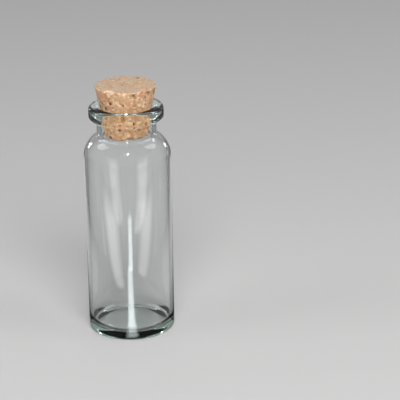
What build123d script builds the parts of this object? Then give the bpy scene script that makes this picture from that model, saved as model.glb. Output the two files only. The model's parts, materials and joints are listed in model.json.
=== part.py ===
"""Corked glass sample vial.

A small vial of clear tubular glass, with a pushed-up base, a round shoulder, a short neck and a
thick rolled rim, closed by a tapered stopper of agglomerated cork that pulls straight out.

The vial stands upright. The origin is the centre of its standing ring, and +Z points up through
the mouth. All sizes are in millimetres and all angles in degrees.
"""

import os
from math import cos, radians, sin, tan

from build123d import *

# Overall sizes
vial_height = 59.5  # floor to the top of the glass rim
body_diameter = 22.0
body_wall = 1.0

# Base: a flat standing ring around a shallow dome, and a floor that follows it
heel_radius = 0.8
foot_width = 2.1  # width of the flat standing ring
push_up = 0.6  # rise of the dome under the base
base_thickness = 1.4
inner_heel_radius = 2.6
floor_ledge = 0.3  # flat between the inner heel and the crowned floor

# Shoulder, from the straight body in to the neck
shoulder_slope = 33.0  # rise of the shoulder's straight part above level
shoulder_radius = 6.0

# Neck and mouth
bore_diameter = 12.6
neck_wall = 1.2
neck_length = 3.9  # shoulder corner to the underside of the rim
neck_fillet = 0.8

# Rolled rim
rim_projection = 1.9  # how far the rim stands out from the neck
rim_height = 3.7
rim_throat_fillet = 0.5
rim_lower_radius = 1.0
rim_upper_radius = 1.0
lip_radius = 1.5  # fire-polished inner edge of the mouth

# Cork stopper: it seats on the lip, and is slimmer below, where the neck squeezes it
cork_length = 12.8
cork_showing = 5.2  # height of the cork above the rim
cork_head_taper = 13.4  # half angle above the seat
cork_plug_taper = 7.5  # half angle below the seat
cork_edge_radius = 0.25
seat_clearance = 0.03  # between the cork and the lip's rounding

# Share of a straight that the arcs at its two ends may use up between them
arc_share = 0.95

# Radii worked out from the driving sizes
body_r = body_diameter / 2
inner_r = body_r - body_wall
bore_r = bore_diameter / 2
neck_r = bore_r + neck_wall
rim_r = neck_r + rim_projection
foot_r = body_r - heel_radius - foot_width
floor_r = inner_r - inner_heel_radius - floor_ledge

# Heights, from the mouth down
rim_z = vial_height - rim_height
neck_z = rim_z - neck_length
slope = radians(shoulder_slope)
shoulder_z = neck_z - (body_r - neck_r) * tan(slope)

# The inside of the shoulder is the outside moved in square to its slope by one wall
wall_drop = body_wall / cos(slope)
throat_z = shoulder_z + (body_r - bore_r) * tan(slope) - wall_drop
inner_shoulder_z = shoulder_z + body_wall * tan(slope) - wall_drop
floor_z = base_thickness
floor_crown_z = push_up + base_thickness

# Arcs of the shoulder and rim, no larger than the straights between their corners allow
corner_share = tan((radians(90) - slope) / 2)  # length that a corner's arc uses, per unit radius
slope_length = (body_r - neck_r) / cos(slope)
shoulder_arc = min(shoulder_radius, arc_share * slope_length / corner_share - neck_fillet)
rim_lower_arc = min(rim_lower_radius, arc_share * rim_projection - rim_throat_fillet)

# Glass vial: one section through the wall, up the outside, over the rim and down the inside
outside_corners = [
    ((body_r, 0), heel_radius),
    ((body_r, shoulder_z), shoulder_arc),
    ((neck_r, neck_z), neck_fillet),
    ((neck_r, rim_z), rim_throat_fillet),
    ((rim_r, rim_z), rim_lower_arc),
    ((rim_r, vial_height), rim_upper_radius),
]
inside_corners = [
    ((bore_r, vial_height), lip_radius),
    ((bore_r, throat_z), neck_fillet + neck_wall),
    ((inner_r, inner_shoulder_z), shoulder_arc - body_wall),
    ((inner_r, floor_z), inner_heel_radius),
]
corners = outside_corners + inside_corners
corner_points = [point for point, radius in corners]
corner_radii = [radius for point, radius in corners]

with BuildPart() as glass_vial:
    with BuildSketch(Plane.XZ):
        with BuildLine():
            TangentArc((0, push_up), (foot_r, 0), tangent=(1, 0))
            FilletPolyline((foot_r, 0), *corner_points, (floor_r, floor_z), radius=corner_radii)
            TangentArc((0, floor_crown_z), (floor_r, floor_z), tangent=(1, 0))
            Line((0, push_up), (0, floor_crown_z))
        make_face()
    revolve(axis=Axis.Z)
glass_vial.part.label = "glass_vial"

# Cork stopper: its head cone touches the lip's rounding along one ring, the seat
cork_top_z = vial_height + cork_showing
cork_bottom_z = cork_top_z - cork_length
head_taper = radians(cork_head_taper)
plug_taper = radians(cork_plug_taper)
seat_arc = lip_radius + seat_clearance
seat_r = bore_r + lip_radius - seat_arc * cos(head_taper)
seat_z = vial_height - lip_radius + seat_arc * sin(head_taper)
cork_top_r = seat_r + (cork_top_z - seat_z) * tan(head_taper)
cork_bottom_r = seat_r - (seat_z - cork_bottom_z) * tan(plug_taper)

with BuildPart() as cork_stopper:
    with BuildSketch(Plane.XZ):
        with BuildLine():
            Polyline(
                (0, cork_bottom_z),
                (cork_bottom_r, cork_bottom_z),
                (seat_r, seat_z),
                (cork_top_r, cork_top_z),
                (0, cork_top_z),
                close=True,
            )
        make_face()
    revolve(axis=Axis.Z)
    end_faces = cork_stopper.faces().sort_by(Axis.Z)
    end_edges = end_faces[0].edges() + end_faces[-1].edges()
    fillet(end_edges.filter_by(GeomType.CIRCLE), radius=cork_edge_radius)
cork_stopper.part.label = "cork_stopper"

print(f"glass: body {body_diameter:.1f}, neck {2 * neck_r:.1f}, rim {2 * rim_r:.1f} across")
print(f"cork: {2 * cork_bottom_r:.2f} to {2 * cork_top_r:.2f} across, seat at {seat_z:.2f}")
print(f"straight body from {heel_radius:.2f} to {shoulder_z - shoulder_arc * corner_share:.2f}")

os.makedirs("parts", exist_ok=True)
for piece in (glass_vial, cork_stopper):
    export_step(piece.part, f"parts/{piece.part.label}.step")
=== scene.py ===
"""Looks of a corked glass sample vial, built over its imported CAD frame.

The vial is one thin turned shell of clear soda-lime glass. The stopper is pressed from ground cork,
so its granules, seams, open pits and chipped edges are modelled in its mesh, and its finish reads
the colour that each granule was given.

Lengths are in metres. Sizes that the frame doesn't hold are written in millimetres times MM.
"""

import json
import logging
import math
import random
from dataclasses import dataclass, field
from enum import Enum

import bmesh
import bpy
from mathutils import Matrix, Vector, kdtree, noise


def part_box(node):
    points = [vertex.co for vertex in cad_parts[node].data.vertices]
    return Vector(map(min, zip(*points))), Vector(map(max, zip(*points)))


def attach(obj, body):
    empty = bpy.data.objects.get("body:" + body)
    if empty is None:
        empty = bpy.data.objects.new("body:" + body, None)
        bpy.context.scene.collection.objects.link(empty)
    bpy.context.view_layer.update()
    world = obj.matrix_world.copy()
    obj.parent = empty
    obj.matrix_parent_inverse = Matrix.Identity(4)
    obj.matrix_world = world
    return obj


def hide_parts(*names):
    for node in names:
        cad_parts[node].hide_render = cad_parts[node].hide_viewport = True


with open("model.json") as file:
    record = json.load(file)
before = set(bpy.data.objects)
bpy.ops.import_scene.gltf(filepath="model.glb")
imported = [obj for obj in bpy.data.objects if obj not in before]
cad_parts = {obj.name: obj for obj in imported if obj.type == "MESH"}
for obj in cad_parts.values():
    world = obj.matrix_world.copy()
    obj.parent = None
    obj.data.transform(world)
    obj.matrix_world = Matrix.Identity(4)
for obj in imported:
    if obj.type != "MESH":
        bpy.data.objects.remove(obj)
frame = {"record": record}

LOG = logging.getLogger("vial")
MM = 0.001
MERGE = 1e-4 * MM


def smooth_step(low: float, high: float, value: float) -> float:
    """Rises smoothly from 0 at low to 1 at high.

    Args:
        low: Where the rise starts.
        high: Where the rise ends.
        value: The place asked about.

    Returns:
        A share from 0 to 1.
    """
    share = min(max((value - low) / (high - low), 0.0), 1.0)
    return share * share * (3.0 - 2.0 * share)


# ---------------------------------------------------------------------------------------------
# Shaping
# ---------------------------------------------------------------------------------------------


class HalfSection:
    """Half of a turned piece's section, drawn as a wire beside the Z axis and then turned."""

    def __init__(self, height: float) -> None:
        """Starts the wire on the axis.

        Args:
            height: Where on the axis the wire starts.
        """
        self.mesh: bmesh.types.BMesh = bmesh.new()
        self.tip: bmesh.types.BMVert = self.mesh.verts.new((0.0, 0.0, height))
        self.rounds: list[tuple[bmesh.types.BMVert, float, int]] = []

    def line(self, radius: float, height: float, rounding: float = 0.0, steps: int = 1) -> None:
        """Draws a straight to a point, where the corner may be rounded later.

        Args:
            radius: The point's distance from the axis.
            height: The point's height.
            rounding: The corner's fillet radius, or 0 for a sharp corner.
            steps: How many pieces the fillet's arc has.
        """
        grown = bmesh.ops.extrude_vert_indiv(self.mesh, verts=[self.tip])
        self.tip = grown["verts"][0]
        self.tip.co = (radius, 0.0, height)
        if rounding > 0.0:
            self.rounds.append((self.tip, rounding, steps))

    def crown_out(self, radius: float, height: float, steps: int) -> None:
        """Draws a shallow arc that leaves the axis square to it.

        Args:
            radius: Distance from the axis at the arc's outer end.
            height: Height of that end.
            steps: How many pieces the arc has.
        """
        rise = self.tip.co.z - height
        bow = (radius * radius + rise * rise) / (2.0 * rise)
        self._swing(Vector((0.0, 0.0, self.tip.co.z - bow)), math.asin(radius / bow), steps)

    def crown_in(self, height: float, steps: int) -> None:
        """Draws a shallow arc from the tip back to the axis, which it meets square.

        Args:
            height: Where it meets the axis.
            steps: How many pieces the arc has.
        """
        radius = self.tip.co.x
        rise = height - self.tip.co.z
        bow = (radius * radius + rise * rise) / (2.0 * rise)
        self._swing(Vector((0.0, 0.0, height - bow)), -math.asin(radius / bow), steps)

    def _swing(self, centre: Vector, angle: float, steps: int) -> None:
        """Sweeps the tip round a centre in the section's plane, leaving an arc behind it.

        Args:
            centre: The arc's centre.
            angle: How far it turns, in radians; outwards from the axis is positive.
            steps: How many pieces the arc has.
        """
        swept = bmesh.ops.spin(
            self.mesh, geom=[self.tip], cent=centre, axis=(0.0, 1.0, 0.0),
            angle=angle, steps=steps, use_merge=False, use_duplicate=False,
        )
        self.tip = next(g for g in swept["geom_last"] if isinstance(g, bmesh.types.BMVert))

    def round_corners(self) -> None:
        """Bevels each marked corner to its fillet, an arc that touches both straights."""
        for corner, radius, steps in self.rounds:
            first, second = (edge.other_vert(corner).co - corner.co for edge in corner.link_edges)
            reach = radius / math.tan(first.angle(second) / 2.0)
            bmesh.ops.bevel(
                self.mesh, geom=[corner], offset=reach, offset_type="OFFSET", affect="VERTICES",
                segments=steps, profile=0.5, material=-1, clamp_overlap=False,
            )
        self.rounds.clear()

    def divide(self, spacing: float) -> None:
        """Cuts every straight so that no piece of it is longer than the spacing.

        Args:
            spacing: The longest piece allowed.
        """
        for edge in list(self.mesh.edges):
            cuts = math.ceil(edge.calc_length() / spacing) - 1
            if cuts > 0:
                bmesh.ops.subdivide_edges(self.mesh, edges=[edge], cuts=cuts)

    def turn(self, steps: int) -> bmesh.types.BMesh:
        """Spins the wire once round the axis into a closed shell that faces outwards.

        Args:
            steps: How many divisions the full turn has.

        Returns:
            The shell. The wire is used up.
        """
        wire = list(self.mesh.verts) + list(self.mesh.edges)
        bmesh.ops.spin(
            self.mesh, geom=wire, cent=(0.0, 0.0, 0.0), axis=(0.0, 0.0, 1.0),
            angle=2.0 * math.pi, steps=steps, use_merge=True, use_duplicate=False,
        )
        bmesh.ops.remove_doubles(self.mesh, verts=list(self.mesh.verts), dist=MERGE)
        bmesh.ops.recalc_face_normals(self.mesh, faces=list(self.mesh.faces))
        return self.mesh


def make_object(name: str, shell: bmesh.types.BMesh) -> bpy.types.Object:
    """Writes a shell to a smooth-shaded object at the origin.

    Args:
        name: The object's name.
        shell: The mesh to write; it is freed.

    Returns:
        The new object, linked to the scene.
    """
    for face in shell.faces:
        face.smooth = True
    data = bpy.data.meshes.new(name)
    shell.to_mesh(data)
    shell.free()
    piece = bpy.data.objects.new(name, data)
    bpy.context.scene.collection.objects.link(piece)
    return piece


# ---------------------------------------------------------------------------------------------
# Finishes
# ---------------------------------------------------------------------------------------------


class NodeBoard:
    """A material's node tree, with short calls that add and join its nodes."""

    def __init__(self, name: str) -> None:
        """Makes a material that holds one Principled shader.

        Args:
            name: The material's name.
        """
        self.material: bpy.types.Material = bpy.data.materials.new(name)
        self.material.use_nodes = True
        self.nodes = self.material.node_tree.nodes
        self.shader: bpy.types.Node = self.nodes["Principled BSDF"]
        self.output: bpy.types.Node = self.nodes["Material Output"]

    def add(self, kind: str, **settings: object) -> bpy.types.Node:
        """Adds a node.

        Args:
            kind: The node type's name after "ShaderNode".
            **settings: Values for the node's own properties.

        Returns:
            The node.
        """
        node = self.nodes.new("ShaderNode" + kind)
        for key, value in settings.items():
            setattr(node, key, value)
        return node

    def join(self, source: bpy.types.NodeSocket, target: bpy.types.NodeSocket) -> None:
        """Links an output socket to an input socket."""
        self.material.node_tree.links.new(source, target)

    def set(self, **values: object) -> None:
        """Sets unlinked inputs of the shader; an underscore stands for a space."""
        for key, value in values.items():
            self.shader.inputs[key.replace("_", " ")].default_value = value

    def coordinates(self) -> bpy.types.NodeSocket:
        """Returns the piece's own coordinates, in metres."""
        return self.add("TexCoord").outputs["Object"]

    def noise(self, size: float, detail: float = 3.0, roughness: float = 0.5) -> bpy.types.NodeSocket:
        """Adds noise of a given size.

        Args:
            size: The width of its largest blots, in metres.
            detail: How many finer layers it has.
            roughness: How strong the finer layers are.

        Returns:
            Its value socket, about 0.5 on average.
        """
        node = self.add("TexNoise", noise_dimensions="3D")
        self.join(self.coordinates(), node.inputs["Vector"])
        node.inputs["Scale"].default_value = 1.0 / size
        node.inputs["Detail"].default_value = detail
        node.inputs["Roughness"].default_value = roughness
        return node.outputs["Fac"]

    def span(
        self, source: bpy.types.NodeSocket, low: float, high: float, start: float, end: float
    ) -> bpy.types.NodeSocket:
        """Maps one range of values to another and holds the ends.

        Args:
            source: The value to map.
            low: The value that gives start.
            high: The value that gives end.
            start: What low becomes.
            end: What high becomes.

        Returns:
            The mapped value.
        """
        node = self.add("MapRange", clamp=True)
        for key, value in (("From Min", low), ("From Max", high), ("To Min", start), ("To Max", end)):
            node.inputs[key].default_value = value
        self.join(source, node.inputs["Value"])
        return node.outputs["Result"]

    def blend(
        self, share: bpy.types.NodeSocket, first: object, second: object, mode: str = "MIX"
    ) -> bpy.types.NodeSocket:
        """Blends two colours.

        Args:
            share: How much of the second shows.
            first: A colour socket, or a colour.
            second: A colour socket, or a colour.
            mode: How the second is laid on the first.

        Returns:
            The blended colour.
        """
        node = self.add("Mix", data_type="RGBA", blend_type=mode)
        self.join(share, node.inputs[0])
        for socket, value in ((node.inputs[6], first), (node.inputs[7], second)):
            if isinstance(value, bpy.types.NodeSocket):
                self.join(value, socket)
            else:
                socket.default_value = (*value, 1.0)
        return node.outputs[2]

    def bump(
        self, height: bpy.types.NodeSocket, depth: float, below: bpy.types.NodeSocket | None = None
    ) -> bpy.types.NodeSocket:
        """Adds fine relief to the shading.

        Args:
            height: The relief's height, 0 to 1.
            depth: What a height of 1 stands for, in metres.
            below: The relief that this one lies on.

        Returns:
            The normal socket.
        """
        node = self.add("Bump")
        node.inputs["Strength"].default_value = 1.0
        node.inputs["Distance"].default_value = depth
        self.join(height, node.inputs["Height"])
        if below is not None:
            self.join(below, node.inputs["Normal"])
        return node.outputs["Normal"]


@dataclass(frozen=True)
class ClearGlass:
    """Fire-polished soda-lime glass, clear through a wall and faintly green along it."""

    name: str = "clear_glass"
    ior: float = 1.52
    roughness: float = 0.0
    tint: tuple[float, float, float] = (0.72, 0.90, 0.82)
    density: float = 82.0

    def material(self) -> bpy.types.Material:
        """Builds the finish.

        Returns:
            The material.
        """
        board = NodeBoard(self.name)
        board.set(
            Base_Color=(1.0, 1.0, 1.0, 1.0), Roughness=self.roughness, IOR=self.ior,
            Transmission_Weight=1.0, Metallic=0.0,
        )
        depth = board.add("VolumeAbsorption")
        depth.inputs["Color"].default_value = (*self.tint, 1.0)
        depth.inputs["Density"].default_value = self.density
        board.join(depth.outputs["Volume"], board.output.inputs["Volume"])
        return board.material


@dataclass(frozen=True)
class PressedCork:
    """Ground cork: each granule its own tone, with fine cells, dusty highs and dark pits that carry painted
    shade.
    """

    name: str = "pressed_cork"
    tone: str = "granule_tone"
    # Vertex attribute marking the middle of each open gap, where painted shade goes.
    gap_shade: str = "gap_shade"
    cell_size: float = 0.16 * MM
    cell_depth: float = 0.035 * MM
    cell_shade: tuple[float, float, float] = (0.60, 0.50, 0.42)
    mottle_size: float = 1.1 * MM
    mottle_depth: float = 0.06 * MM
    mottle_shade: tuple[float, float, float] = (1.0, 0.78, 0.58)
    fleck_size: float = 0.34 * MM
    fleck_colour: tuple[float, float, float] = (0.20, 0.095, 0.045)
    # Painted shade, near black, in the middle of each open gap between granules.
    gap_shade_colour: tuple[float, float, float] = (0.085, 0.040, 0.020)
    ior: float = 1.4

    def material(self) -> bpy.types.Material:
        """Builds the finish.

        Returns:
            The material.
        """
        board = NodeBoard(self.name)
        tone = board.add("Attribute", attribute_name=self.tone).outputs["Color"]
        gap_shade = board.add("Attribute", attribute_name=self.gap_shade).outputs["Fac"]
        cells = board.noise(self.cell_size, detail=2.0, roughness=0.6)
        mottle = board.noise(self.mottle_size, detail=4.0, roughness=0.6)
        flecks = board.noise(self.fleck_size, detail=2.0, roughness=0.45)

        shaded = board.blend(board.span(cells, 0.35, 0.65, 0.0, 0.35), tone, self.cell_shade, "MULTIPLY")
        warmed = board.blend(board.span(mottle, 0.35, 0.7, 0.0, 0.40), shaded, self.mottle_shade, "MULTIPLY")
        flecked = board.blend(board.span(flecks, 0.61, 0.71, 0.0, 0.50), warmed, self.fleck_colour)
        # Painted shade darkens the middle of each open gap.
        gap_shaded = board.blend(gap_shade, flecked, self.gap_shade_colour)
        board.join(gap_shaded, board.shader.inputs["Base Color"])
        board.join(board.span(cells, 0.3, 0.7, 0.78, 0.96), board.shader.inputs["Roughness"])
        fine = board.bump(cells, self.cell_depth)
        board.join(board.bump(mottle, self.mottle_depth, fine), board.shader.inputs["Normal"])
        board.set(IOR=self.ior)
        return board.material


@dataclass(frozen=True)
class PaleBoard:
    """The plain pale surface that the vial stands on."""

    name: str = "pale_board"
    colour: tuple[float, float, float] = (0.60, 0.60, 0.595)
    roughness: float = 0.45
    ior: float = 1.45

    def material(self) -> bpy.types.Material:
        """Builds the finish.

        Returns:
            The material.
        """
        board = NodeBoard(self.name)
        board.set(Base_Color=(*self.colour, 1.0), Roughness=self.roughness, IOR=self.ior)
        return board.material


# ---------------------------------------------------------------------------------------------
# Glass vial
# ---------------------------------------------------------------------------------------------


@dataclass
class GlassVial:
    """The glass: domed base, thin straight body, round shoulder, neck and thick rolled rim."""

    node: str = "glass_vial"
    body: str = "vial"
    slot: str = "glass"
    wall: float = 1.0 * MM
    heel_radius: float = 0.8 * MM
    foot_width: float = 2.1 * MM
    push_up: float = 0.6 * MM
    base_thickness: float = 1.4 * MM
    inner_heel_radius: float = 2.6 * MM
    floor_ledge: float = 0.3 * MM
    shoulder_slope: float = math.radians(33.0)
    shoulder_radius: float = 6.0 * MM
    neck_wall: float = 1.2 * MM
    neck_length: float = 3.9 * MM
    neck_fillet: float = 0.8 * MM
    rim_projection: float = 1.9 * MM
    rim_height: float = 3.7 * MM
    throat_fillet: float = 0.5 * MM
    rim_lower_radius: float = 1.0 * MM
    rim_upper_radius: float = 1.0 * MM
    lip_radius: float = 1.5 * MM
    turn_steps: int = 224
    ring_spacing: float = 1.2 * MM
    ripple: float = 0.030 * MM
    ripple_left_by_drawing: float = 0.25
    wide_swirl: float = 4.5 * MM
    narrow_swirl: float = 1.9 * MM
    flame_below_top: float = 15.0 * MM
    flame_fade: float = 6.0 * MM
    base_flame: float = 5.0 * MM
    finish: ClearGlass = field(default_factory=ClearGlass)

    def __post_init__(self) -> None:
        """Takes the overall sizes and the neck's radius from the frame."""
        low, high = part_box(self.node)
        self.base: float = low.z
        self.top: float = high.z
        self.body_r: float = min(high.x, high.y)
        groove = next(m for m in frame["record"]["mounts"] if m["name"] == "neck_groove")
        self.neck_r: float = groove["dims"]["r_mm"] * MM

    def section(self) -> HalfSection:
        """Draws the wall's section: under the base, up the outside, and down the inside.

        Returns:
            The section, its corners rounded and its straights divided.
        """
        inner_r = self.body_r - self.wall
        bore_r = self.neck_r - self.neck_wall
        rim_r = self.neck_r + self.rim_projection
        rim_z = self.top - self.rim_height
        neck_z = rim_z - self.neck_length
        rise = math.tan(self.shoulder_slope)
        shoulder_z = neck_z - (self.body_r - self.neck_r) * rise
        drop = self.wall / math.cos(self.shoulder_slope)
        floor_z = self.base + self.base_thickness

        wire = HalfSection(self.base + self.push_up)
        wire.crown_out(self.body_r - self.heel_radius - self.foot_width, self.base, steps=14)
        wire.line(self.body_r, self.base, self.heel_radius, steps=12)
        wire.line(self.body_r, shoulder_z, self.shoulder_radius, steps=26)
        wire.line(self.neck_r, neck_z, self.neck_fillet, steps=8)
        wire.line(self.neck_r, rim_z, self.throat_fillet, steps=7)
        wire.line(rim_r, rim_z, self.rim_lower_radius, steps=14)
        wire.line(rim_r, self.top, self.rim_upper_radius, steps=10)
        wire.line(bore_r, self.top, self.lip_radius, steps=16)
        wire.line(bore_r, shoulder_z + (self.body_r - bore_r) * rise - drop,
                  self.neck_fillet + self.neck_wall, steps=12)
        wire.line(inner_r, shoulder_z + self.wall * rise - drop, self.shoulder_radius - self.wall, steps=24)
        wire.line(inner_r, floor_z, self.inner_heel_radius, steps=18)
        wire.line(inner_r - self.inner_heel_radius - self.floor_ledge, floor_z)
        wire.crown_in(floor_z + self.push_up, steps=14)
        wire.round_corners()
        wire.divide(self.ring_spacing)
        return wire

    def flame_ripple(self, shell: bmesh.types.BMesh) -> None:
        """Moves the surface in a little where the flame worked it: the base, shoulder and rim.

        Args:
            shell: The turned glass.
        """
        shell.normal_update()
        shoulder = self.top - self.flame_below_top
        moves: list[tuple[bmesh.types.BMVert, Vector]] = []
        for vert in shell.verts:
            worked = smooth_step(shoulder, shoulder + self.flame_fade, vert.co.z)
            worked += smooth_step(self.base + self.base_flame, self.base, vert.co.z)
            swirl = noise.noise(vert.co / self.wide_swirl) + 0.5 * noise.noise(vert.co / self.narrow_swirl)
            depth = self.ripple * (self.ripple_left_by_drawing + worked) * (0.5 - 0.5 * swirl)
            moves.append((vert, vert.normal * -depth))
        for vert, move in moves:
            if vert.co.z > self.base + MERGE or vert.co.xy.length < MERGE:
                vert.co += move

    def build(self) -> bpy.types.Object:
        """Makes the glass, dresses it and puts it in place of its CAD node.

        Returns:
            The finished piece.
        """
        shell = self.section().turn(self.turn_steps)
        self.flame_ripple(shell)
        piece = make_object("vial_glass", shell)
        piece.data.materials.append(self.finish.material())
        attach(piece, self.body)
        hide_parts(self.node)
        return piece


# ---------------------------------------------------------------------------------------------
# Cork stopper
# ---------------------------------------------------------------------------------------------


class Granule(Enum):
    """What a granule of the cork is: its colour, its share of the whole, and how far it sinks."""

    CREAM = ((0.80, 0.60, 0.41), 0.22, 0.0)
    TAN = ((0.68, 0.44, 0.26), 0.375, 0.0)
    BLUSH = ((0.70, 0.41, 0.27), 0.22, 0.0)
    RUST = ((0.56, 0.30, 0.14), 0.11, 0.0)
    BARK = ((0.28, 0.14, 0.07), 0.06, 0.03)
    # A gap is a void between granules; its dark colour is painted shade.
    GAP = ((0.24, 0.12, 0.06), 0.015, 0.18)

    def __init__(self, colour: tuple[float, float, float], share: float, sink: float) -> None:
        """Names the three values.

        Args:
            colour: Its usual colour.
            share: Its share of all granules.
            sink: How far its face lies under the others, in millimetres.
        """
        self.colour: tuple[float, float, float] = colour
        self.share: float = share
        self.sink: float = sink * MM


class Wound(Enum):
    """What shows inside a nick in the cork: the colour that the granules turn towards there, painted shade
    for a deep pit or slit.
    """

    FRESH = (0.92, 0.78, 0.60)
    WORN = (0.62, 0.42, 0.27)
    # Painted shade for the inside of a deep pit or slit.
    DARK = (0.16, 0.070, 0.035)


@dataclass(frozen=True)
class Nick:
    """A small bite out of the cork, in millimetres: where it is, how wide and how deep.

    Bearing 0 is the front and 90 is its right. The height is measured down from the top face.
    """

    bearing: float
    radius: float
    drop: float
    width: float
    depth: float
    wound: Wound = Wound.WORN

    def place(self, top: float) -> Vector:
        """Returns the bite's middle, for a cork whose top face is at the given height."""
        angle = math.radians(self.bearing)
        level = Vector((math.sin(angle), -math.cos(angle), 0.0)) * self.radius * MM
        return level + Vector((0.0, 0.0, top - self.drop * MM))

    def bite(self, place: Vector, middle: Vector) -> float:
        """Returns how much of the full bite a place gets, from 0 outside it to 1 at its middle."""
        share = (place - middle).length / (0.5 * self.width * MM)
        return 1.0 - share * share if share < 1.0 else 0.0


@dataclass
class GranuleSeed:
    """One granule: where it grew from, its kind, and how it lies and looks among the others."""

    place: Vector
    kind: Granule
    reach: float
    step: float
    tilt: Vector
    shade: float


@dataclass
class CorkStopper:
    """The stopper: a pressed block of ground cork, turned to a taper and cut flat at both ends."""

    node: str = "cork_stopper"
    body: str = "cork"
    slot: str = "cork"
    bottom_r: float = 5.46 * MM
    seat_r: float = 6.31 * MM
    seat_below_rim: float = 1.15 * MM
    edge_radius: float = 0.25 * MM
    turn_steps: int = 380
    ring_spacing: float = 0.125 * MM
    granule_pitch: float = 0.64 * MM
    granule_tilt: float = 0.05
    granule_shades: tuple[float, float] = (0.84, 1.12)
    usual_reach: tuple[float, float] = (-0.15, 0.15)
    small_reach: tuple[float, float] = (-0.30, -0.05)
    warp: float = 0.22 * MM
    wide_warp: float = 0.9 * MM
    narrow_warp: float = 0.35 * MM
    narrow_warp_share: float = 0.35
    seam_width: float = 0.15 * MM
    seams_to_face: float = 1.6
    seam_depth: float = 0.055 * MM
    seam_shade: float = 0.16
    step_height: float = 0.045 * MM
    grit_depth: float = 0.02 * MM
    grit_size: float = 0.3 * MM
    cut_smoothing: float = 0.55
    seed: int = 11
    cut_face: tuple[float, float, float] = (0.575, 0.475, 0.370)
    dust_share: float = 0.58
    dust_swing: float = 0.44
    dust_size: float = 2.4 * MM
    # Painted shade: a dark ring round the cork where it meets the lip's seat, darkest at the seat itself.
    seat_shade_colour: tuple[float, float, float] = (0.30, 0.16, 0.085)
    seat_shade_share: float = 0.55
    seat_shade_core: float = 0.10 * MM
    seat_shade_reach: float = 0.35 * MM
    # The plug below the seat is painted paler: partly cleaner, undusted cork, partly painted light for the
    # light that the thick glass focuses onto it.
    undusted_and_lit_plug: tuple[float, float, float] = (1.18, 1.09, 0.99)
    undusted_and_lit_reach: float = 0.5 * MM
    wound_share: float = 0.75
    edge_nicks: int = 64
    edge_nick_widths: tuple[float, float] = (0.5, 1.7)
    edge_nick_depth: float = 0.26
    nicks: tuple[Nick, ...] = (
        Nick(-34, 6.9, 0.05, 2.3, 0.34, Wound.FRESH),
        Nick(-24, 7.2, 0.25, 1.5, 0.25, Wound.FRESH),
        Nick(43, 6.5, 0.05, 1.9, 0.42),
        Nick(50, 7.3, 0.50, 1.5, 0.30, Wound.DARK),
        Nick(18, 7.45, 0.85, 0.9, 0.35, Wound.DARK),
        Nick(21, 7.30, 1.45, 0.7, 0.30, Wound.DARK),
        Nick(-62, 0.7, 0.00, 0.7, 0.22, Wound.DARK),
        Nick(-140, 1.9, 0.00, 0.5, 0.15, Wound.DARK),
        Nick(96, 7.7, 0.10, 2.0, 0.62),
        Nick(112, 7.7, 0.10, 1.5, 0.44),
        Nick(-98, 7.7, 0.35, 2.0, 0.50),
        Nick(-122, 7.7, 0.10, 1.9, 0.50),
        Nick(-150, 7.7, 0.10, 1.5, 0.40),
        Nick(176, 7.7, 0.15, 1.9, 0.42),
        Nick(-44, 5.5, 12.65, 1.6, 0.36, Wound.DARK),
        Nick(-58, 5.6, 12.30, 1.1, 0.28),
        Nick(33, 5.5, 12.70, 1.4, 0.26),
        Nick(140, 5.5, 12.60, 1.7, 0.34),
    )
    finish: PressedCork = field(default_factory=PressedCork)

    def __post_init__(self) -> None:
        """Takes the stopper's ends from the frame and grows its granules."""
        low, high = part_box(self.node)
        self.base: float = low.z
        self.top: float = high.z
        self.head_r: float = min(high.x, high.y)
        self.seat_z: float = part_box("glass_vial")[1].z - self.seat_below_rim
        self.seeds: list[GranuleSeed] = self.grow_granules()
        self.tree = kdtree.KDTree(len(self.seeds))
        for index, seed in enumerate(self.seeds):
            self.tree.insert(seed.place, index)
        self.tree.balance()
        self.all_nicks: list[Nick] = list(self.nicks) + self.wear_edges()
        self.nick_tree = kdtree.KDTree(len(self.all_nicks))
        for index, nick in enumerate(self.all_nicks):
            self.nick_tree.insert(nick.place(self.top), index)
        self.nick_tree.balance()

    def wear_edges(self) -> list[Nick]:
        """Scatters small nicks round the two end edges, where granules have crumbled away.

        Returns:
            The nicks.
        """
        chance = random.Random(self.seed + 1)
        length = (self.top - self.base) / MM
        worn: list[Nick] = []
        for count in range(self.edge_nicks):
            radius, drop = (self.head_r, 0.05) if count % 3 else (self.bottom_r, length - 0.05)
            width = chance.uniform(*self.edge_nick_widths)
            worn.append(Nick(
                bearing=chance.uniform(-180.0, 180.0), radius=radius / MM, drop=drop, width=width,
                depth=self.edge_nick_depth * width,
                wound=chance.choice((Wound.FRESH, Wound.WORN, Wound.WORN)),
            ))
        return worn

    def grow_granules(self) -> list[GranuleSeed]:
        """Scatters granules of mixed sizes through the block.

        Returns:
            The granules.
        """
        chance = random.Random(self.seed)
        kinds = list(Granule)
        shares = [kind.share for kind in kinds]
        across = math.ceil(self.head_r / self.granule_pitch) + 1
        layers = math.ceil((self.top - self.base) / self.granule_pitch) + 2
        seeds: list[GranuleSeed] = []
        for i in range(-across, across + 1):
            for j in range(-across, across + 1):
                for k in range(-1, layers):
                    jitter = Vector((chance.random(), chance.random(), chance.random()))
                    kind = chance.choices(kinds, shares)[0]
                    small = kind in (Granule.BARK, Granule.GAP)
                    reach = chance.uniform(*(self.small_reach if small else self.usual_reach))
                    tilt = Vector((chance.gauss(0, 1), chance.gauss(0, 1), chance.gauss(0, 1)))
                    seeds.append(GranuleSeed(
                        place=Vector((i, j, k)) * self.granule_pitch + jitter * self.granule_pitch
                        + Vector((0.0, 0.0, self.base)),
                        kind=kind,
                        reach=reach * MM,
                        step=chance.random() * self.step_height,
                        tilt=tilt.normalized() * self.granule_tilt,
                        shade=chance.uniform(*self.granule_shades),
                    ))
        return seeds

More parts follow.
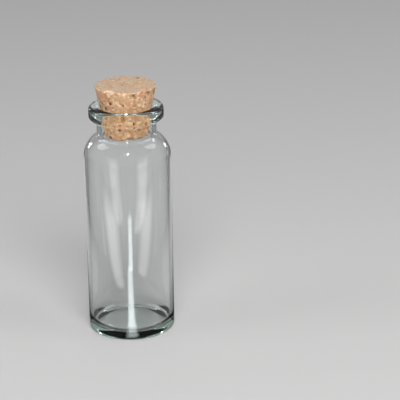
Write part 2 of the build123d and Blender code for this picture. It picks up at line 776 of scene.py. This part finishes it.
    def section(self) -> HalfSection:
        """Draws the stopper's section: bottom, plug taper, head taper and top.

        Returns:
            The section, its end corners rounded and its straights divided.
        """
        head_slope = (self.head_r - self.seat_r) / (self.top - self.seat_z)
        wire = HalfSection(self.base)
        wire.line(self.bottom_r, self.base, self.edge_radius, steps=4)
        wire.line(self.seat_r, self.seat_z)
        wire.line(self.seat_r + head_slope * (self.top - self.seat_z), self.top, self.edge_radius, steps=4)
        wire.line(0.0, self.top)
        wire.round_corners()
        wire.divide(self.ring_spacing)
        return wire

    def nearest(self, place: Vector) -> tuple[GranuleSeed, float]:
        """Finds which granule a place belongs to.

        Args:
            place: The place, already warped so that granules get crooked outlines.

        Returns:
            The granule, and how far the place lies inside its outline.
        """
        ranked = sorted(
            (distance - self.seeds[index].reach, index)
            for _, index, distance in self.tree.find_n(place, 6)
        )
        return self.seeds[ranked[0][1]], ranked[1][0] - ranked[0][0]

    def relief(self, spot: Vector, seed: GranuleSeed, seam: float, face: float, cut: float) -> float:
        """Works out how far the surface lies under the turned shape at one place.

        Args:
            spot: The place on the turned shape.
            seed: The granule there.
            seam: How near the granule's outline is, from 0 inside it to 1 on it.
            face: How far inside the outline the place is, from 0 on it to 1.
            cut: How much the place belongs to a flat cut end, from 0 to 1.

        Returns:
            The depth, in metres, without any nick.
        """
        depth = seed.step + (spot - seed.place).dot(seed.tilt) * 0.5
        depth += seam * self.seam_depth
        depth += self.grit_depth * (0.5 + 0.5 * noise.noise(spot / self.grit_size))
        return depth * (1.0 - self.cut_smoothing * cut) + face * seed.kind.sink

    def tint(self, spot: Vector, seed: GranuleSeed, seam: float, face: float, cut: float) -> Vector:
        """Works out the cork's colour at one place.

        Args:
            spot: The place on the turned shape.
            seed: The granule there.
            seam: How near the granule's outline is, from 0 inside it to 1 on it.
            face: How far inside the outline the place is, from 0 on it to 1.
            cut: How much the place belongs to a flat cut end, from 0 to 1.

        Returns:
            The colour, without any nick.
        """
        colour = Vector(seed.kind.colour) * seed.shade * (1.0 - self.seam_shade * seam)
        dust = self.dust_share + self.dust_swing * noise.noise(spot / self.dust_size)
        colour = colour.lerp(Vector(self.cut_face), dust * cut * (1.0 - face * (seed.kind.sink > 0.0)))
        # Below the seat the plug is painted paler: partly cleaner cork, partly painted light that the glass
        # focuses onto it.
        undusted_and_lit = smooth_step(self.seat_z, self.seat_z - self.undusted_and_lit_reach, spot.z)
        colour *= Vector((1.0, 1.0, 1.0)).lerp(Vector(self.undusted_and_lit_plug), undusted_and_lit)
        # Painted shade: a dark ring round the cork at the seat, where it meets the lip.
        pressed = 1.0 - smooth_step(self.seat_shade_core, self.seat_shade_reach, abs(spot.z - self.seat_z))
        return colour.lerp(Vector(self.seat_shade_colour), self.seat_shade_share * pressed)

    def carve(self, shell: bmesh.types.BMesh) -> None:
        """Cuts the granules' relief into the turned cork and colours each granule.

        Args:
            shell: The turned cork.
        """
        tone = shell.verts.layers.float_color.new(self.finish.tone)
        gap_shade = shell.verts.layers.float.new(self.finish.gap_shade)
        noise.seed_set(self.seed)  # noise_vector is otherwise seeded by the clock
        shell.normal_update()
        for vert in shell.verts:
            spot = vert.co.copy()
            cut = smooth_step(0.5, 0.95, abs(vert.normal.z))
            wander = noise.noise_vector(spot / self.wide_warp) * self.warp
            wander += noise.noise_vector(spot / self.narrow_warp) * (self.narrow_warp_share * self.warp)
            seed, inside = self.nearest(spot + wander)
            seam = 1.0 - smooth_step(0.0, self.seam_width, inside)
            face = smooth_step(0.0, self.seams_to_face * self.seam_width, inside)
            middle, index, _ = self.nick_tree.find(spot)
            nick = self.all_nicks[index]
            bite = nick.bite(spot + wander, middle)

            depth = max(self.relief(spot, seed, seam, face, cut), 0.0) + bite * nick.depth * MM
            vert.co = spot - vert.normal * depth
            colour = self.tint(spot, seed, seam, face, cut)
            # Inside a nick the colour turns to its wound's: paler fresh cork, worn cork, and painted shade
            # for deep pits.
            colour = colour.lerp(Vector(nick.wound.value), self.wound_share * smooth_step(0.0, 0.5, bite))
            vert[tone] = (*colour, 1.0)
            # Painted shade fills the middle of each open gap.
            vert[gap_shade] = face if seed.kind is Granule.GAP else 0.0

    def build(self) -> bpy.types.Object:
        """Makes the cork, dresses it and puts it in place of its CAD node.

        Returns:
            The finished piece.
        """
        shell = self.section().turn(self.turn_steps)
        self.carve(shell)
        piece = make_object("cork", shell)
        piece.data.materials.append(self.finish.material())
        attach(piece, self.body)
        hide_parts(self.node)
        return piece


# ---------------------------------------------------------------------------------------------
# Studio
# ---------------------------------------------------------------------------------------------


class LampUse(Enum):
    """What a lamp does, as its shape, the surfaces that it reaches and whether glass mirrors it."""

    FILL = ("RECTANGLE", True, False, False, False)
    INNER = ("ELLIPSE", False, False, True, False)
    BACK = ("ELLIPSE", False, False, True, True)
    GLINT = ("ELLIPSE", False, True, True, True)

    def __init__(self, shape: str, open_air: bool, gloss: bool, through_glass: bool, mirrored: bool) -> None:
        """Names the five values.

        Args:
            shape: The lamp's shape.
            open_air: Whether it lights surfaces that aren't behind glass.
            gloss: Whether it shows as a reflection on the outside of gloss.
            through_glass: Whether its light passes through glass.
            mirrored: Whether it shows where the glass reflects it from within.
        """
        self.shape: str = shape
        self.open_air: bool = open_air
        self.gloss: bool = gloss
        self.through_glass: bool = through_glass
        self.mirrored: bool = mirrored


@dataclass(frozen=True)
class SoftBox:
    """One lamp, aimed at the middle of the vial."""

    name: str
    use: LampUse
    bearing: float
    height: float
    distance: float
    width: float
    length: float
    glow: float
    colour: tuple[float, float, float] = (1.0, 1.0, 1.0)

    def keep_out_of_mirrors(self, data: bpy.types.Light) -> None:
        """Puts the lamp out for light that the glass has reflected, so that it lights but isn't seen.

        Args:
            data: The lamp.
        """
        data.use_nodes = True
        nodes, links = data.node_tree.nodes, data.node_tree.links
        straight = nodes.new("ShaderNodeMath")
        straight.operation = "LESS_THAN"
        straight.inputs[1].default_value = 0.5
        links.new(nodes.new("ShaderNodeLightPath").outputs["Glossy Depth"], straight.inputs[0])
        links.new(straight.outputs["Value"], nodes["Emission"].inputs["Strength"])

    def hang(self, target: Vector) -> bpy.types.Object:
        """Puts the lamp in place.

        Args:
            target: The point that it faces.

        Returns:
            The lamp.
        """
        bearing, height = math.radians(self.bearing), math.radians(self.height)
        away = Vector((
            math.sin(bearing) * math.cos(height), -math.cos(bearing) * math.cos(height), math.sin(height),
        ))
        data = bpy.data.lights.new(self.name, "AREA")
        data.shape = self.use.shape
        data.size, data.size_y = self.width, self.length
        data.energy = self.glow * math.pi * self.width * self.length
        data.color = self.colour
        if not self.use.mirrored:
            self.keep_out_of_mirrors(data)
        lamp = bpy.data.objects.new(self.name, data)
        lamp.location = target + away * self.distance
        lamp.rotation_mode = "QUATERNION"
        lamp.rotation_quaternion = away.to_track_quat("Z", "Y")
        lamp.visible_camera = False
        lamp.visible_diffuse = self.use.open_air
        lamp.visible_glossy = self.use.gloss
        lamp.visible_transmission = self.use.through_glass
        bpy.context.scene.collection.objects.link(lamp)
        return lamp


@dataclass(frozen=True)
class GlowCard:
    """A soft-edged card of light low in front of the vial, seen only as its reflection in the glass."""

    name: str
    near: tuple[tuple[float, float], tuple[float, float]]
    far: tuple[tuple[float, float], tuple[float, float]]
    near_glow: float
    far_glow: float
    colour: tuple[float, float, float] = (1.0, 1.0, 1.0)
    through_glass: bool = True
    edge: float = 0.40
    near_fade: float = 0.03
    far_fade: float = 0.40
    cells: int = 32
    lift: float = 0.4 * MM

    def light_material(self) -> bpy.types.Material:
        """Builds the card's light, which shines upwards only, and only into reflections.

        Returns:
            The material.
        """
        board = NodeBoard(self.name)
        glow = board.add("Emission")
        glow.inputs["Color"].default_value = (*self.colour, 1.0)
        board.join(board.add("Attribute", attribute_name="glow").outputs["Fac"], glow.inputs["Strength"])
        direct = board.span(board.add("LightPath").outputs["Glossy Depth"], 0.0, 1.0, 1.0, 0.0)
        unseen = board.add("Math", operation="MAXIMUM")
        board.join(board.add("NewGeometry").outputs["Backfacing"], unseen.inputs[0])
        board.join(direct, unseen.inputs[1])
        mix = board.add("MixShader")
        board.join(unseen.outputs["Value"], mix.inputs[0])
        board.join(glow.outputs["Emission"], mix.inputs[1])
        board.join(board.add("BsdfTransparent").outputs["BSDF"], mix.inputs[2])
        board.join(mix.outputs["Shader"], board.output.inputs["Surface"])
        return board.material

    def lay(self) -> bpy.types.Object:
        """Lays the card on the board, brighter at one end and faded at its sides.

        Returns:
            The card.
        """
        sheet = bmesh.new()
        bmesh.ops.create_grid(sheet, x_segments=self.cells, y_segments=self.cells, size=1.0)
        glow = sheet.verts.layers.float.new("glow")
        for vert in sheet.verts:
            across, along = (vert.co.x + 1.0) / 2.0, (vert.co.y + 1.0) / 2.0
            ends = [Vector(left).lerp(Vector(right), across) for left, right in (self.near, self.far)]
            place = ends[0].lerp(ends[1], along) * MM
            fade = smooth_step(0.0, self.edge, min(across, 1.0 - across))
            fade *= smooth_step(0.0, self.near_fade, along) * smooth_step(0.0, self.far_fade, 1.0 - along)
            vert[glow] = fade * (self.near_glow + (self.far_glow - self.near_glow) * along)
            vert.co = (place.x, place.y, self.lift)
        sheet.normal_update()
        down = [face for face in sheet.faces if face.normal.z < 0.0]
        bmesh.ops.reverse_faces(sheet, faces=down)
        card = make_object(self.name, sheet)
        card.data.materials.append(self.light_material())
        card.visible_camera = False
        card.visible_diffuse = False
        card.visible_shadow = False
        card.visible_transmission = self.through_glass
        return card


@dataclass
class Studio:
    """A pale board under soft lamps, and a long lens that looks a little down at the vial."""

    elevation: float = math.radians(20.5)
    roll: float = math.radians(0.85)
    distance: float = 458.0 * MM
    aim_height: float = 30.0 * MM
    aim_right: float = 18.1 * MM
    aim_up: float = 3.6 * MM
    lens: float = 162.0
    board_side: float = 8.0
    surround: tuple[float, float, float] = (0.36, 0.36, 0.365)
    lamps: tuple[SoftBox, ...] = (
        SoftBox("key_lamp", LampUse.FILL, 8, 40, distance=0.75, width=0.50, length=0.36, glow=8.8),
        SoftBox("left_lamp", LampUse.FILL, -75, 35, distance=0.70, width=0.30, length=0.40, glow=1.8),
        SoftBox("right_lamp", LampUse.FILL, 75, 35, distance=0.70, width=0.30, length=0.40, glow=2.0),
        SoftBox("inner_lamp", LampUse.INNER, 3, 42, distance=0.60, width=0.84, length=0.60, glow=3.8),
        SoftBox("inner_left", LampUse.INNER, -66, 30, distance=0.60, width=0.60, length=0.56, glow=2.8),
        SoftBox("inner_right", LampUse.INNER, 66, 30, distance=0.60, width=0.60, length=0.56, glow=2.8),
        SoftBox("key_glint", LampUse.GLINT, 3, 50, distance=0.50, width=0.04, length=0.04, glow=60),
        SoftBox("key_halo", LampUse.GLINT, 3, 50, distance=0.505, width=0.15, length=0.065, glow=1.6,
                colour=(0.80, 0.87, 1.0)),
        SoftBox("left_edge", LampUse.GLINT, -144, 6, distance=0.50, width=0.016, length=0.12, glow=9),
        SoftBox("right_edge", LampUse.GLINT, 144, 6, distance=0.50, width=0.016, length=0.10, glow=8),
        SoftBox("left_back", LampUse.BACK, -150, 40, distance=0.50, width=0.11, length=0.11, glow=9),
        SoftBox("right_back", LampUse.BACK, 150, 40, distance=0.50, width=0.10, length=0.10, glow=8),
        SoftBox("left_base", LampUse.BACK, -114, 46, distance=0.50, width=0.24, length=0.26, glow=2.7),
        SoftBox("right_base", LampUse.BACK, 114, 46, distance=0.50, width=0.24, length=0.26, glow=2.7),
    )
    cards: tuple[GlowCard, ...] = (
        GlowCard("left_card", near=((-24, -36), (-5, -43)), far=((-140, -36), (-48, -120)),
                 near_glow=2.4, far_glow=2.6),
        GlowCard("right_card", near=((14, -54), (34, -34)), far=((58, -114), (136, -34)),
                 near_glow=1.8, far_glow=2.6),
        GlowCard("middle_card", near=((-2.2, -11.2), (3.4, -11.2)), far=((-9.0, -61), (10.4, -61)),
                 near_glow=8.5, far_glow=5.0, colour=(0.90, 0.98, 1.0), far_fade=0.16),
        GlowCard("left_back_card", near=((-70, -10), (-12.5, 0)), far=((-110, 190), (-10, 190)),
                 near_glow=1.0, far_glow=1.0, through_glass=False),
        GlowCard("right_back_card", near=((12.5, 0), (70, -10)), far=((10, 190), (110, 190)),
                 near_glow=1.0, far_glow=1.0, through_glass=False),
    )

    def lay_board(self) -> bpy.types.Object:
        """Lays the pale board under the vial.

        Returns:
            The board.
        """
        sheet = bmesh.new()
        bmesh.ops.create_grid(sheet, x_segments=1, y_segments=1, size=self.board_side / 2.0)
        board = make_object("board", sheet)
        board.data.materials.append(PaleBoard().material())
        return board

    def light(self) -> None:
        """Hangs the lamps and sets the dim, even surround."""
        target = Vector((0.0, 0.0, self.aim_height))
        for lamp in self.lamps:
            lamp.hang(target)
        for card in self.cards:
            card.lay()
        world = bpy.data.worlds.new("surround")
        world.use_nodes = True
        world.node_tree.nodes["Background"].inputs["Color"].default_value = (*self.surround, 1.0)
        bpy.context.scene.world = world
        bpy.context.scene.view_settings.view_transform = "Standard"

    def place_camera(self) -> bpy.types.Object:
        """Stands the camera in front, looking down at the vial from a little to its right.

        Returns:
            The camera.
        """
        ahead = Vector((0.0, math.cos(self.elevation), -math.sin(self.elevation)))
        right = Vector((1.0, 0.0, 0.0))
        up = right.cross(ahead)
        data = bpy.data.cameras.new("camera")
        data.sensor_width = 36.0
        data.lens = self.lens
        data.clip_start = 10.0 * MM
        data.clip_end = 20.0
        camera = bpy.data.objects.new("camera", data)
        spin = Matrix.Rotation(self.roll, 3, ahead)
        turned = Matrix((spin @ right, spin @ up, -ahead)).transposed()
        aim = Vector((0.0, 0.0, self.aim_height))
        camera.matrix_world = turned.to_4x4()
        camera.location = aim - ahead * self.distance + right * self.aim_right + up * self.aim_up
        bpy.context.scene.collection.objects.link(camera)
        bpy.context.scene.camera = camera
        return camera


def main() -> None:
    """Builds the studio and the two pieces."""
    logging.basicConfig(level=logging.INFO, format="%(name)s: %(message)s")
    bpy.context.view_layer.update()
    studio = Studio()
    studio.place_camera()
    studio.lay_board()
    studio.light()
    for part in (GlassVial(), CorkStopper()):
        piece = part.build()
        LOG.info("%s: %d faces, on body %s", piece.name, len(piece.data.polygons), part.body)


if __name__ == "__main__":
    main()
